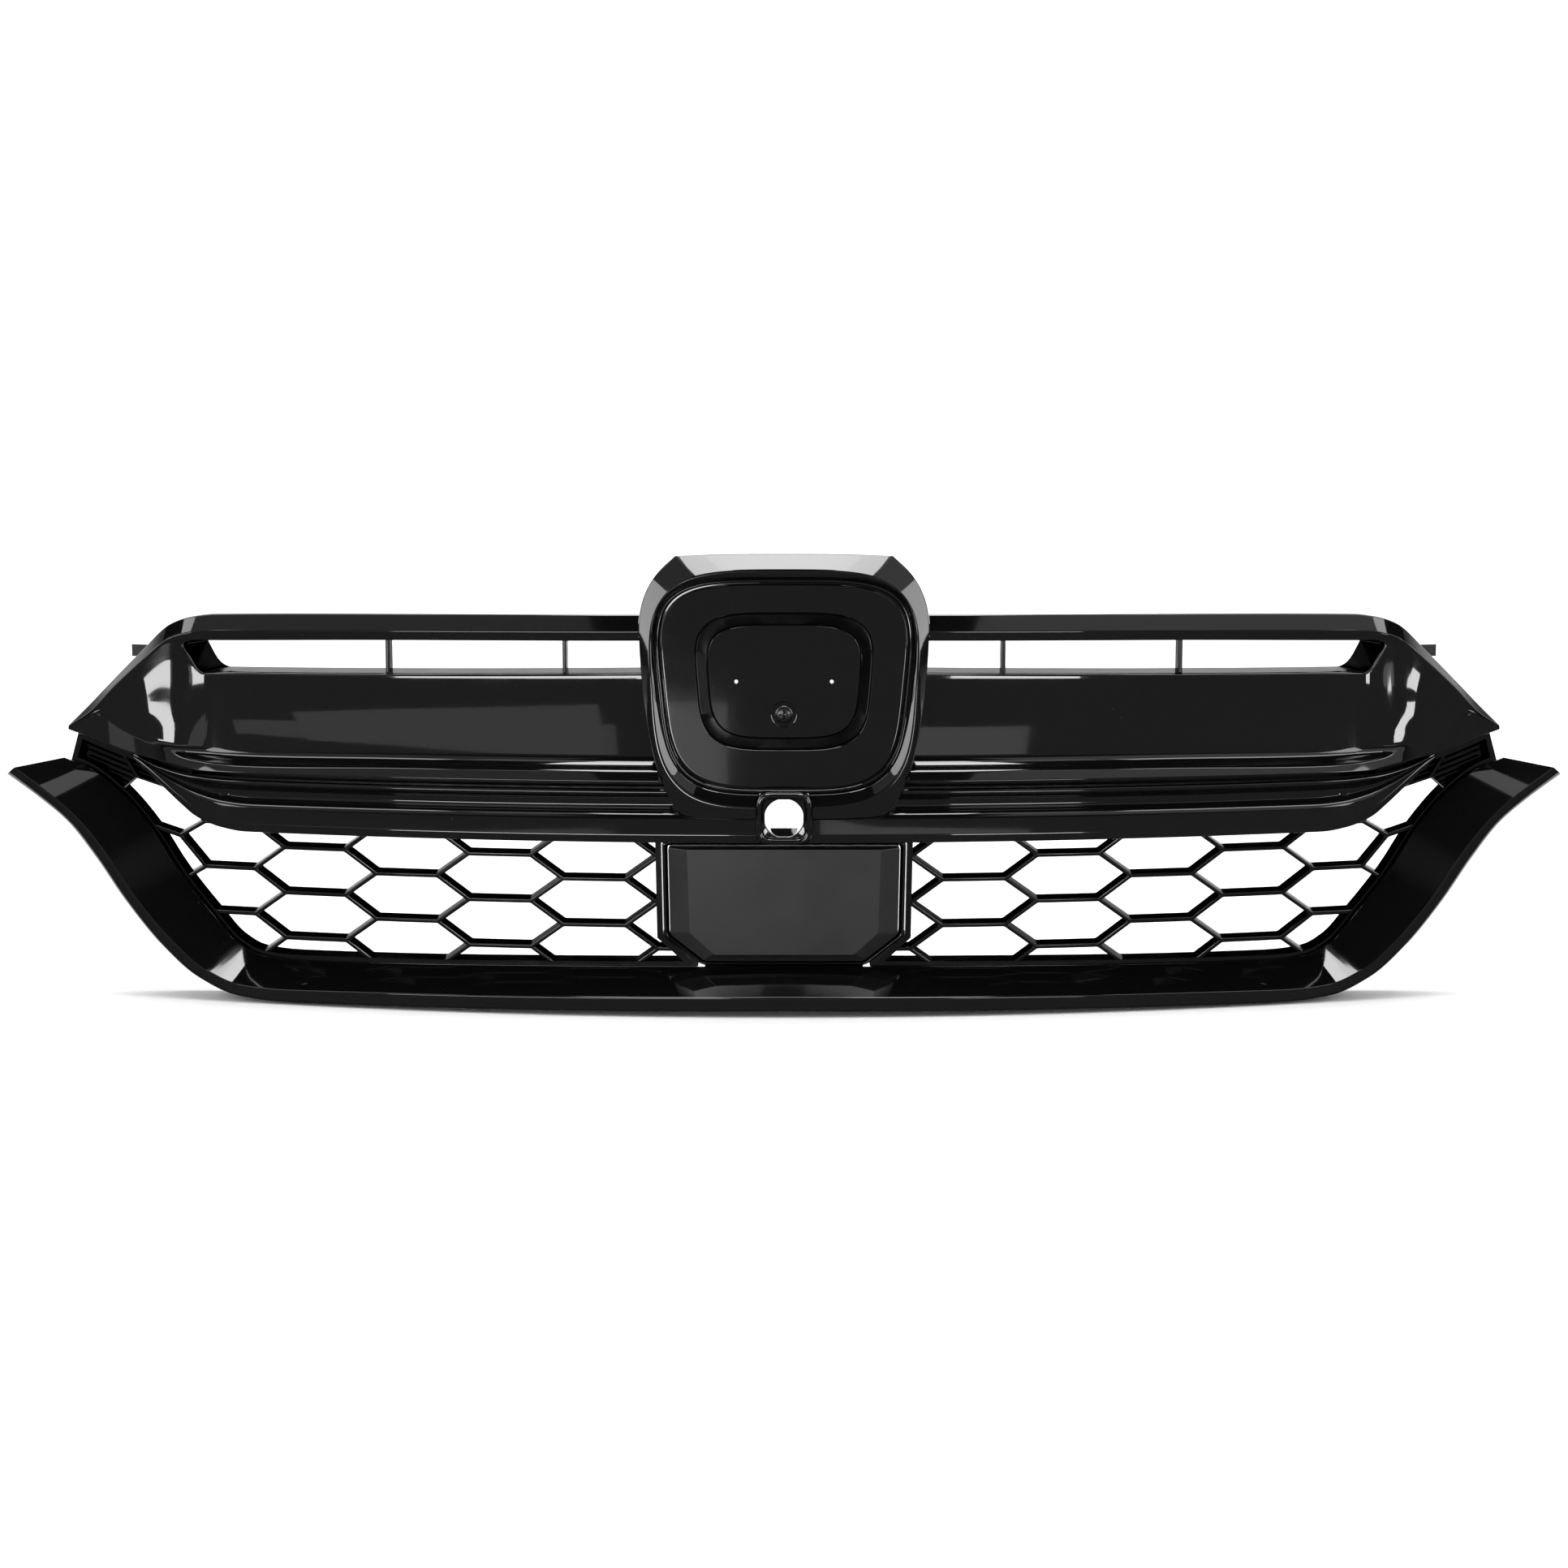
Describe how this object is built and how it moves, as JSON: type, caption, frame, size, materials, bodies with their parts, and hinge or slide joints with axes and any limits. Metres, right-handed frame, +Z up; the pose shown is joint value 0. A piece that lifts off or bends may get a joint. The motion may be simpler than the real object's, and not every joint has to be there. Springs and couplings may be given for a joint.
{
  "type": "front grille",
  "caption": "Wide swept car front grille: slotted upper wings, raised badge frame, centre bar, honeycomb inserts, radar cover and U-shaped lower trim.",
  "frame": {"origin": "centre of the upper mounting pad's underside, on the grille's centre plane", "axes": "+X to the viewer's right when facing the grille, +Y into the car, +Z up"},
  "size_m": [1.197, 0.1624, 0.3396],
  "materials": {
    "gloss_black": "piano-black lacquered plastic, high gloss",
    "satin_black": "satin moulded plastic",
    "structure_black": "fine-grained black structural plastic",
    "zinc_steel": "zinc-plated steel"
  },
  "bodies": {
    "root": {"upper_wing_right": "gloss_black", "upper_wing_left": "gloss_black", "slot_liner_right": "structure_black", "slot_liner_left": "structure_black", "badge_frame": "gloss_black", "badge_base": "gloss_black", "badge_backing": "structure_black", "centre_bar": "gloss_black", "honeycomb_right": "gloss_black", "honeycomb_left": "gloss_black", "radar_surround": "gloss_black", "radar_cover": "satin_black", "camera_bezel": "gloss_black", "camera_bracket": "structure_black", "lower_trim": "gloss_black", "upper_support": "structure_black", "middle_support": "structure_black", "lower_support": "structure_black", "side_support_right": "structure_black", "side_support_left": "structure_black", "wing_screw_upper_inner_right": "zinc_steel", "wing_screw_upper_inner_left": "zinc_steel", "wing_screw_upper_middle_right": "zinc_steel", "wing_screw_upper_middle_left": "zinc_steel", "wing_screw_upper_outer_right": "zinc_steel", "wing_screw_upper_outer_left": "zinc_steel", "wing_screw_lower_inner_right": "zinc_steel", "wing_screw_lower_inner_left": "zinc_steel", "wing_screw_lower_outer_right": "zinc_steel", "wing_screw_lower_outer_left": "zinc_steel", "side_screw_right": "zinc_steel", "side_screw_left": "zinc_steel", "bar_screw_inner_right": "zinc_steel", "bar_screw_inner_left": "zinc_steel", "bar_screw_outer_right": "zinc_steel", "bar_screw_outer_left": "zinc_steel", "trim_screw_inner_right": "zinc_steel", "trim_screw_inner_left": "zinc_steel", "trim_screw_middle_right": "zinc_steel", "trim_screw_middle_left": "zinc_steel", "trim_screw_outer_right": "zinc_steel", "trim_screw_outer_left": "zinc_steel", "badge_screw_1": "zinc_steel", "badge_screw_2": "zinc_steel", "badge_screw_3": "zinc_steel", "badge_screw_4": "zinc_steel", "badge_centre_screw": "zinc_steel", "spring_clip_1_right": "zinc_steel", "spring_clip_1_left": "zinc_steel", "spring_clip_2_right": "zinc_steel", "spring_clip_2_left": "zinc_steel", "spring_clip_3_right": "zinc_steel", "spring_clip_3_left": "zinc_steel"}
  },
  "joints": []
}
